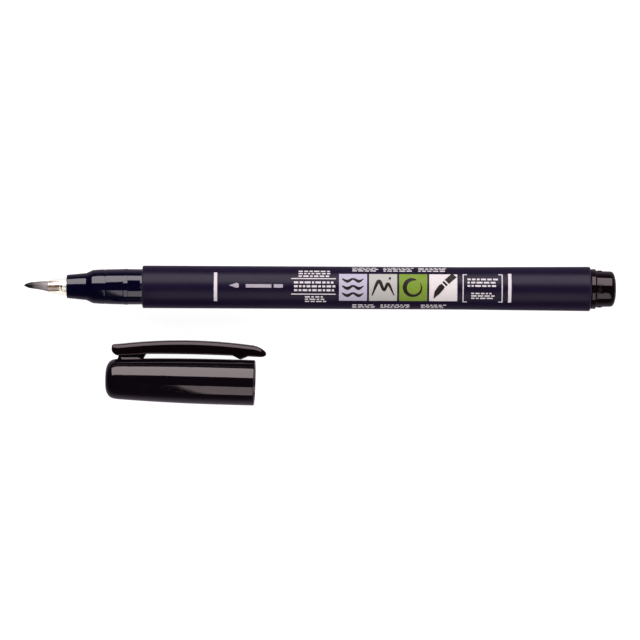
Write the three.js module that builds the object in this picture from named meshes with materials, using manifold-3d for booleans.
// A brush pen lying uncapped on a table, with its cap beside it.
//
// Millimetres, +Z up. +X runs along the pen from the nib to the tail, the cap lies on the -Y side with its
// clip turned towards the pen, and z = 0 is the table. The origin is under the middle of the whole object.
// Places along the pen are measured from the point of the nib, and along the cap from its closed end.
import * as THREE from 'three';
import { mergeVertices } from 'three/addons/utils/BufferGeometryUtils.js';
import Module from 'manifold-3d';

const wasm = await Module();
wasm.setup();

// ---- driving dimensions ----

const SIDES = 48; // sides of every turned piece
const CURVE_STEPS = 4; // straight steps in one curved stretch of an outline
const ASSEMBLY_GAP = 0.08; // between pieces that are pushed together

const PEN_LENGTH = 129.45;
const BARREL = { start: 25.95, end: 123.9, radius: 4.66, bore: 3.8, edge: 0.3 };
const BARREL_LEAD_IN = 0.12; // chamfer round the mouth of its bore
const BARREL_FLARE = { start: 96, tailRadius: 4.86 };
const NOSE = { start: 9.4, frontRadius: 2.56, edge: 0.2, bore: 2.1 };
const SHOULDER = { start: 13.65, startRadius: 2.97, end: 15.1, endRadius: 3.65 };
const NECK = { start: 17.6, startRadius: 3.8, radius: 3.89, grooveWidth: 0.4, grooveDepth: 0.06 };
const BEAD = { start: 21.9, end: 22.8, radius: 3.93 };
const SHALLOW_FLATS = { start: 18.1, end: 21.8, distance: 3.77 };
const DEEP_FLATS = { start: 22.9, end: 25.5, distance: 3.69 };
const FLATS_ROLL = -4.3; // degrees round the axis from straight up
const SECTION_REAR = { end: 34, flangeSeat: 15.9, flangeBore: 2.5, relaySeat: 19.6, relayBore: 3 };
const COLLAR = { start: 5.3, frontRadius: 1.32, rearRadius: 2.02, mouth: 1.22, bore: 1.35, boreStart: 8 };
const COLLAR_FLANGE = { start: 16, end: 17.6, radius: 2.42 };
const TIP = { pointRadius: 0.12, curveEnd: 2.2, curveRadius: 0.74, mouthRadius: 1.14 };
const TIP_FULLNESS = { place: 0.81, radius: 0.6 }; // control point of the rounded point's curve
const TIP_ROOT = { end: 7.8, radius: 0.8 };
const RELAY_TUBE = { start: 8.4, end: 24, radius: 1.25, bore: 0.98 };
const RELAY_FLANGE = { start: 19.9, end: 21.4, radius: 2.9 };
const RELAY_CORE = { start: 8, end: 47, radius: 0.9 };
const RESERVOIR = { start: 35, end: 114, radius: 3.3, wickBore: 1, wickDepth: 13, film: 0.12 };
const PLUG = { start: 117, bore: 2.7, floor: 127.9, radius: 3.95, tailRadius: 3.88 };
const PLUG_RING = { radius: 4.38, end: 124.95, footEnd: 125.2 };
const PLUG_GROOVE = { end: 125.45, radius: 4 };
const PLUG_DOME = { length: 1.15, flat: 1.8, bulge: 0.25, bulgeRadius: 3.8 }; // its rounded rear end
const LUG = { start: 125.45, length: 1.15, width: 1.9, radius: 4.1, root: 3.4, count: 4 };

const CAP_LENGTH = 32.65;
const CAP = { radius: 4.99, crownStart: 24.95, crownRadius: 450, edge: 0.3 };
const CAP_END = { flat: 1.6, softened: 2.5, bulge: 0.3, radius: 3.1 }; // its closed end, slightly domed
const CAP_CORNER = { end: 2.85, front: { place: 0.75, radius: 4 }, rear: { place: 1.3, radius: 4.36 } };
const CAP_WALL = 1.02;
const CAP_FLOOR = 1.85;
const CAP_PLACE = { x: 17.97, y: -20.115, yaw: -1.36, pitch: 1.28 }; // of its closed end, and of its axis
const INNER_CAP = { start: 1.95, end: 20.95, gap: 0.1, wall: 0.6, floor: 0.8 };

const CLIP = { rear: 1.2, noseEnd: 35.02, top: 8.78, topAt: 20.05, crownRadius: 118, heel: 5.15 };
const CLIP_UNDERSIDE = { height: 5.85, at: 21.35, crownRadius: 400 };
const CLIP_NOSE = { start: 31.85, undersideEnd: 34.2, height: 6.4 };
const CLIP_WIDTH = { rear: 4, nose: 3.2, corner: 0.5 };
const CLIP_BUMP = { at: 29.4, halfLength: 1.5, height: 0.7 };
const WEB = { start: 2.55, end: 7.98, topEnd: 8.95, width: 2, clearance: 0.3 };
const WEB_OVERLAP = 0.3; // how far it runs into the clip's bar

// ---- geometry helpers ----

// Turns an outline (x along the axis, y the radius) round the x axis.
function turned(outline) {
  const points = outline.getPoints(CURVE_STEPS).map((point) => new THREE.Vector2(point.y, point.x));
  return new THREE.LatheGeometry(points, SIDES).rotateZ(-Math.PI / 2);
}

// Extrudes an outline in the x-y plane to a slab centred on z = 0.
function slab(outline, width) {
  const options = { depth: width, bevelEnabled: false, curveSegments: CURVE_STEPS };
  return new THREE.ExtrudeGeometry(outline, options).translate(0, 0, -width / 2);
}

// Draws a shallow crown to x: a parabola with the given radius of curvature at its apex.
function crownTo(outline, apexX, apexY, radius, x) {
  const from = outline.currentPoint.x - apexX;
  const to = x - apexX;
  const control = apexY - (from * to) / (2 * radius);
  return outline.quadraticCurveTo(apexX + (from + to) / 2, control, x, apexY - to ** 2 / (2 * radius));
}

function solidFrom(geometry) {
  const bare = geometry.clone();
  bare.deleteAttribute('normal');
  bare.deleteAttribute('uv');
  const merged = mergeVertices(bare, 1e-4);
  const triVerts = new Uint32Array(merged.index.array);
  const vertProperties = merged.attributes.position.array;
  return new wasm.Manifold(new wasm.Mesh({ numProp: 3, vertProperties, triVerts }));
}

function geometryFrom(solid) {
  const { vertProperties, triVerts } = solid.getMesh();
  const geometry = new THREE.BufferGeometry();
  geometry.setAttribute('position', new THREE.BufferAttribute(vertProperties, 3));
  geometry.setIndex(new THREE.BufferAttribute(triVerts, 1));
  geometry.computeVertexNormals();
  return geometry;
}

function joined(geometries) {
  const solids = geometries.map(solidFrom);
  return geometryFrom(solids.reduce((whole, solid) => whole.add(solid)));
}

function cut(geometry, tools) {
  const solids = tools.map(solidFrom);
  return geometryFrom(solids.reduce((whole, tool) => whole.subtract(tool), solidFrom(geometry)));
}

// Copies of a block that stands on the x axis at one side, spaced evenly round the axis.
function blocksRound({ start, length, width, inner, outer, roll, count }) {
  return Array.from({ length: count }, (_, i) => {
    const block = new THREE.BoxGeometry(length, width, outer - inner);
    block.translate(start + length / 2, 0, (inner + outer) / 2);
    return block.rotateX(THREE.MathUtils.degToRad(roll + (360 * i) / count));
  });
}

// ---- the pen ----

function brushTip() {
  const outline = new THREE.Path().moveTo(0, 0);
  outline.lineTo(0, TIP.pointRadius);
  outline.quadraticCurveTo(TIP_FULLNESS.place, TIP_FULLNESS.radius, TIP.curveEnd, TIP.curveRadius);
  outline.lineTo(COLLAR.start, TIP.mouthRadius);
  outline.lineTo(TIP_ROOT.end, TIP_ROOT.radius);
  outline.lineTo(TIP_ROOT.end, 0);
  return turned(outline);
}

function tipCollar() {
  const seat = NOSE.bore - ASSEMBLY_GAP;
  const outline = new THREE.Path().moveTo(COLLAR.start, COLLAR.mouth);
  outline.lineTo(COLLAR.start, COLLAR.frontRadius);
  outline.lineTo(NOSE.start, COLLAR.rearRadius);
  outline.lineTo(NOSE.start + NOSE.edge, seat);
  outline.lineTo(COLLAR_FLANGE.start, seat);
  outline.lineTo(COLLAR_FLANGE.start, COLLAR_FLANGE.radius);
  outline.lineTo(COLLAR_FLANGE.end, COLLAR_FLANGE.radius);
  outline.lineTo(COLLAR_FLANGE.end, COLLAR.bore);
  outline.lineTo(COLLAR.boreStart, COLLAR.bore);
  return turned(outline.closePath());
}

function relayTube() {
  const outline = new THREE.Path().moveTo(RELAY_TUBE.start, RELAY_TUBE.bore);
  outline.lineTo(RELAY_TUBE.start, RELAY_TUBE.radius);
  outline.lineTo(RELAY_FLANGE.start, RELAY_TUBE.radius);
  outline.lineTo(RELAY_FLANGE.start, RELAY_FLANGE.radius);
  outline.lineTo(RELAY_FLANGE.end, RELAY_FLANGE.radius);
  outline.lineTo(RELAY_FLANGE.end, RELAY_TUBE.radius);
  outline.lineTo(RELAY_TUBE.end, RELAY_TUBE.radius);
  outline.lineTo(RELAY_TUBE.end, RELAY_TUBE.bore);
  return turned(outline.closePath());
}

function relayCore() {
  const outline = new THREE.Path().moveTo(RELAY_CORE.start, 0);
  outline.lineTo(RELAY_CORE.start, RELAY_CORE.radius);
  outline.lineTo(RELAY_CORE.end, RELAY_CORE.radius);
  outline.lineTo(RELAY_CORE.end, 0);
  return turned(outline);
}

// A flat on the top of the neck and one underneath, as blocks to cut away.
function flats({ start, end, distance }) {
  const length = end - start;
  const width = 2 * BARREL.radius;
  const outer = BARREL.radius;
  return blocksRound({ start, length, width, inner: distance, outer, roll: FLATS_ROLL, count: 2 });
}

function frontSection() {
  const spigot = BARREL.bore - ASSEMBLY_GAP;
  const grooveFloor = NECK.startRadius - NECK.grooveDepth;
  const grooveSide = NECK.grooveWidth / 4;
  const outline = new THREE.Path().moveTo(NOSE.start, NOSE.bore);
  outline.lineTo(NOSE.start, NOSE.frontRadius - NOSE.edge);
  outline.lineTo(NOSE.start + NOSE.edge, NOSE.frontRadius);
  outline.lineTo(SHOULDER.start, SHOULDER.startRadius);
  outline.lineTo(SHOULDER.end, SHOULDER.endRadius);
  outline.lineTo(NECK.start, NECK.startRadius);
  outline.lineTo(NECK.start + grooveSide, grooveFloor);
  outline.lineTo(NECK.start + NECK.grooveWidth - grooveSide, grooveFloor);
  outline.lineTo(NECK.start + NECK.grooveWidth, NECK.startRadius);
  outline.lineTo(BEAD.start, NECK.radius);
  outline.lineTo(BEAD.start + BEAD.radius - NECK.radius, BEAD.radius);
  outline.lineTo(BEAD.end - BEAD.radius + NECK.radius, BEAD.radius);
  outline.lineTo(BEAD.end, NECK.radius);
  outline.lineTo(BARREL.start - ASSEMBLY_GAP, NECK.radius);
  outline.lineTo(BARREL.start - ASSEMBLY_GAP, spigot);
  outline.lineTo(SECTION_REAR.end - BARREL.edge, spigot);
  outline.lineTo(SECTION_REAR.end, spigot - BARREL.edge);
  outline.lineTo(SECTION_REAR.end, SECTION_REAR.relayBore);
  outline.lineTo(SECTION_REAR.relaySeat, SECTION_REAR.relayBore);
  outline.lineTo(SECTION_REAR.relaySeat, SECTION_REAR.flangeBore);
  outline.lineTo(SECTION_REAR.flangeSeat, SECTION_REAR.flangeBore);
  outline.lineTo(SECTION_REAR.flangeSeat, NOSE.bore);
  return cut(turned(outline.closePath()), [...flats(SHALLOW_FLATS), ...flats(DEEP_FLATS)]);
}

function barrel() {
  const outline = new THREE.Path().moveTo(BARREL.start + BARREL_LEAD_IN, BARREL.bore);
  outline.lineTo(BARREL.start, BARREL.bore + BARREL_LEAD_IN);
  outline.lineTo(BARREL.start, BARREL.radius - BARREL.edge);
  outline.lineTo(BARREL.start + BARREL.edge, BARREL.radius);
  outline.lineTo(BARREL_FLARE.start, BARREL.radius);
  outline.lineTo(BARREL.end - BARREL.edge, BARREL_FLARE.tailRadius);
  outline.lineTo(BARREL.end, BARREL_FLARE.tailRadius - BARREL.edge);
  outline.lineTo(BARREL.end, BARREL.bore);
  return turned(outline.closePath());
}

function reservoirFibre() {
  const wickEnd = RESERVOIR.start + RESERVOIR.wickDepth;
  const outline = new THREE.Path().moveTo(wickEnd, 0);
  outline.lineTo(wickEnd, RESERVOIR.wickBore);
  outline.lineTo(RESERVOIR.start, RESERVOIR.wickBore);
  outline.lineTo(RESERVOIR.start, RESERVOIR.radius);
  outline.lineTo(RESERVOIR.end, RESERVOIR.radius);
  outline.lineTo(RESERVOIR.end, 0);
  return turned(outline);
}

function reservoirFilm() {
  const inside = RESERVOIR.radius + ASSEMBLY_GAP;
  const outline = new THREE.Path().moveTo(RESERVOIR.start, inside);
  outline.lineTo(RESERVOIR.start, inside + RESERVOIR.film);
  outline.lineTo(RESERVOIR.end, inside + RESERVOIR.film);
  outline.lineTo(RESERVOIR.end, inside);
  return turned(outline.closePath());
}

// The plug that closes the rear end: a hollow spigot in the barrel, a ring against it, and four small lugs.
function tailPlug() {
  const spigot = BARREL.bore - ASSEMBLY_GAP;
  const ringStart = BARREL.end + ASSEMBLY_GAP;
  const outline = new THREE.Path().moveTo(PLUG.floor, 0);
  outline.lineTo(PLUG.floor, PLUG.bore);
  outline.lineTo(PLUG.start, PLUG.bore);
  outline.lineTo(PLUG.start, spigot - BARREL.edge);
  outline.lineTo(PLUG.start + BARREL.edge, spigot);
  outline.lineTo(ringStart, spigot);
  outline.lineTo(ringStart, PLUG_RING.radius);
  outline.lineTo(PLUG_RING.end, PLUG_RING.radius);
  outline.lineTo(PLUG_RING.footEnd, PLUG_GROOVE.radius);
  outline.lineTo(PLUG_GROOVE.end, PLUG_GROOVE.radius);
  outline.lineTo(PLUG_GROOVE.end, PLUG.radius);
  outline.lineTo(PEN_LENGTH - PLUG_DOME.length, PLUG.tailRadius);
  outline.quadraticCurveTo(PEN_LENGTH - PLUG_DOME.bulge, PLUG_DOME.bulgeRadius, PEN_LENGTH, PLUG_DOME.flat);
  outline.lineTo(PEN_LENGTH, 0);
  const { start, length, width, count } = LUG;
  const lugs = blocksRound({ start, length, width, inner: LUG.root, outer: LUG.radius, roll: 0, count });
  return joined([turned(outline), ...lugs]);
}

// ---- the cap ----

// Radius of the cap's outside at a place along it, in front of the rounded closed end.
function capRadiusAt(place) {
  return CAP.radius - Math.max(0, CAP.crownStart - place) ** 2 / (2 * CAP.crownRadius);
}

function capShell() {
  const inside = CAP.radius - CAP_WALL;
  const { front, rear } = CAP_CORNER;
  const cornerRadius = capRadiusAt(CAP_CORNER.end);
  const outline = new THREE.Path().moveTo(0, 0);
  outline.lineTo(0, CAP_END.flat);
  outline.quadraticCurveTo(0, CAP_END.softened, CAP_END.bulge, CAP_END.radius);
  outline.bezierCurveTo(front.place, front.radius, rear.place, rear.radius, CAP_CORNER.end, cornerRadius);
  crownTo(outline, CAP.crownStart, CAP.radius, CAP.crownRadius, CAP.crownStart);
  outline.lineTo(CAP_LENGTH - CAP.edge, CAP.radius);
  outline.lineTo(CAP_LENGTH, CAP.radius - CAP.edge);
  outline.lineTo(CAP_LENGTH, inside + CAP.edge);
  outline.lineTo(CAP_LENGTH - CAP.edge, inside);
  outline.lineTo(CAP.crownStart, inside);
  crownTo(outline, CAP.crownStart, inside, CAP.crownRadius, CAP_FLOOR);
  outline.lineTo(CAP_FLOOR, 0);
  return turned(outline);
}

function innerCap() {
  const outside = CAP.radius - CAP_WALL - INNER_CAP.gap;
  const inside = outside - INNER_CAP.wall;
  const floor = INNER_CAP.start + INNER_CAP.floor;
  const drop = CAP.radius - outside;
  const outline = new THREE.Path().moveTo(INNER_CAP.start, 0);
  outline.lineTo(INNER_CAP.start, capRadiusAt(INNER_CAP.start) - drop);
  crownTo(outline, CAP.crownStart, outside, CAP.crownRadius, INNER_CAP.end);
  outline.lineTo(INNER_CAP.end, capRadiusAt(INNER_CAP.end) - drop - INNER_CAP.wall);
  crownTo(outline, CAP.crownStart, inside, CAP.crownRadius, floor);
  outline.lineTo(floor, 0);
  return turned(outline);
}

// Height of the middle of the clip's underside, and of its back, at a place along the cap.
function clipUndersideAt(place) {
  return CLIP_UNDERSIDE.height - (place - CLIP_UNDERSIDE.at) ** 2 / (2 * CLIP_UNDERSIDE.crownRadius);
}

function clipTopAt(place) {
  return CLIP.top - (place - CLIP.topAt) ** 2 / (2 * CLIP.crownRadius);
}

// The clip's arched bar seen from the side, with the heel over its web and the bump under its nose.
function clipBar() {
  const { rear, heel } = CLIP;
  const { corner } = CLIP_WIDTH;
  const heelEnd = WEB.start + corner;
  const bumpStart = CLIP_BUMP.at - CLIP_BUMP.halfLength;
  const bumpEnd = CLIP_BUMP.at + CLIP_BUMP.halfLength;
  const bumpControl = clipUndersideAt(CLIP_BUMP.at) - 2 * CLIP_BUMP.height;
  const noseTop = clipTopAt(CLIP_NOSE.start);
  const rearTop = clipTopAt(rear + corner);
  const noseUnderside = clipUndersideAt(CLIP_NOSE.undersideEnd);
  const underside = [CLIP_UNDERSIDE.at, CLIP_UNDERSIDE.height, CLIP_UNDERSIDE.crownRadius];
  const outline = new THREE.Shape();
  outline.moveTo(rear + corner, heel);
  outline.lineTo(heelEnd, heel);
  outline.lineTo(WEB.topEnd, clipUndersideAt(WEB.topEnd));
  crownTo(outline, ...underside, bumpStart);
  outline.quadraticCurveTo(CLIP_BUMP.at, bumpControl, bumpEnd, clipUndersideAt(bumpEnd));
  outline.lineTo(CLIP_NOSE.undersideEnd, noseUnderside);
  outline.quadraticCurveTo(CLIP.noseEnd, noseUnderside, CLIP.noseEnd, CLIP_NOSE.height);
  outline.quadraticCurveTo(CLIP.noseEnd, noseTop - corner, CLIP_NOSE.start, noseTop);
  crownTo(outline, CLIP.topAt, CLIP.top, CLIP.crownRadius, rear + corner);
  outline.quadraticCurveTo(rear, rearTop, rear, rearTop - corner);
  outline.lineTo(rear, heel + corner);
  outline.quadraticCurveTo(rear, heel, rear + corner, heel);
  return slab(outline, CLIP_WIDTH.rear);
}

// The clip's outline seen from outside: it narrows towards a round nose. Extruded through the bar's height.
function clipPlan() {
  const rear = CLIP_WIDTH.rear / 2;
  const nose = CLIP_WIDTH.nose / 2;
  const { corner } = CLIP_WIDTH;
  const noseStart = CLIP.noseEnd - nose;
  const height = 2 * (CLIP.top + CAP.radius);
  const outline = new THREE.Shape();
  outline.moveTo(CLIP.rear + corner, -rear);
  outline.lineTo(noseStart, -nose);
  outline.absarc(noseStart, 0, nose, -Math.PI / 2, Math.PI / 2, false);
  outline.lineTo(CLIP.rear + corner, rear);
  outline.quadraticCurveTo(CLIP.rear, rear, CLIP.rear, rear - corner);
  outline.lineTo(CLIP.rear, corner - rear);
  outline.quadraticCurveTo(CLIP.rear, -rear, CLIP.rear + corner, -rear);
  return slab(outline, height).rotateX(Math.PI / 2);
}

// The web that carries the bar, just clear of the cap that it is moulded to.
function clipWeb() {
  const top = clipUndersideAt(WEB.topEnd) + WEB_OVERLAP;
  const outline = new THREE.Shape();
  outline.moveTo(WEB.start, capRadiusAt(WEB.start) + WEB.clearance);
  outline.lineTo(WEB.end, capRadiusAt(WEB.end) + WEB.clearance);
  outline.lineTo(WEB.topEnd, clipUndersideAt(WEB.topEnd));
  outline.lineTo(WEB.topEnd, top);
  outline.lineTo(WEB.start, top);
  return slab(outline.closePath(), WEB.width);
}

function clip() {
  const bar = solidFrom(clipBar()).intersect(solidFrom(clipPlan()));
  return joined([geometryFrom(bar), clipWeb()]);
}

// ---- materials and assembly ----

function plastic(colour, roughness) {
  return new THREE.MeshStandardMaterial({ color: colour, roughness, metalness: 0 });
}

const NAVY_PLASTIC = plastic('#15121f', 0.42);
const GLOSS_BLACK = plastic('#0a090b', 0.12);
const CLEAR_PLASTIC = plastic('#d8cfa8', 0.08);
CLEAR_PLASTIC.transparent = true;
CLEAR_PLASTIC.opacity = 0.4;
const TIP_RUBBER = plastic('#17150f', 0.6);
const MILKY_PLASTIC = plastic('#e6e4dd', 0.4);
const INKED_FIBRE = plastic('#191716', 0.95);
const FILM = plastic('#dfe3e6', 0.2);
const INNER_CAP_PLASTIC = plastic('#26262a', 0.35);

function piece(name, geometry, material) {
  const mesh = new THREE.Mesh(geometry, material);
  mesh.name = name;
  return mesh;
}

function pen() {
  const group = new THREE.Group();
  group.add(
    piece('barrel', barrel(), NAVY_PLASTIC),
    piece('front_section', frontSection(), GLOSS_BLACK),
    piece('tip_collar', tipCollar(), CLEAR_PLASTIC),
    piece('brush_tip', brushTip(), TIP_RUBBER),
    piece('relay_tube', relayTube(), MILKY_PLASTIC),
    piece('relay_core', relayCore(), INKED_FIBRE),
    piece('reservoir_fibre', reservoirFibre(), INKED_FIBRE),
    piece('reservoir_film', reservoirFilm(), FILM),
    piece('tail_plug', tailPlug(), GLOSS_BLACK),
  );
  return group;
}

// The cap lies on its crowned side, so its axis rises a little towards the mouth.
function cap() {
  const group = new THREE.Group();
  const pitch = THREE.MathUtils.degToRad(CAP_PLACE.pitch);
  const yaw = THREE.MathUtils.degToRad(CAP_PLACE.yaw);
  group.add(
    piece('cap_shell', capShell(), GLOSS_BLACK),
    piece('inner_cap', innerCap(), INNER_CAP_PLASTIC),
    piece('clip', clip(), GLOSS_BLACK),
  );
  group.rotation.set(0, -pitch, yaw, 'ZYX');
  group.position.set(CAP_PLACE.x, CAP_PLACE.y, 0);
  return group;
}

function boxOf(object) {
  return new THREE.Box3().setFromObject(object, true);
}

// Lowers or raises a group until its lowest point is on the table.
function layDown(group) {
  group.position.z -= boxOf(group).min.z;
  return group;
}

function brushPen() {
  const group = new THREE.Group();
  group.add(layDown(pen()), layDown(cap()));
  const middle = boxOf(group).getCenter(new THREE.Vector3());
  group.position.set(-middle.x, -middle.y, 0);
  return group;
}

const group = brushPen();
export default group;
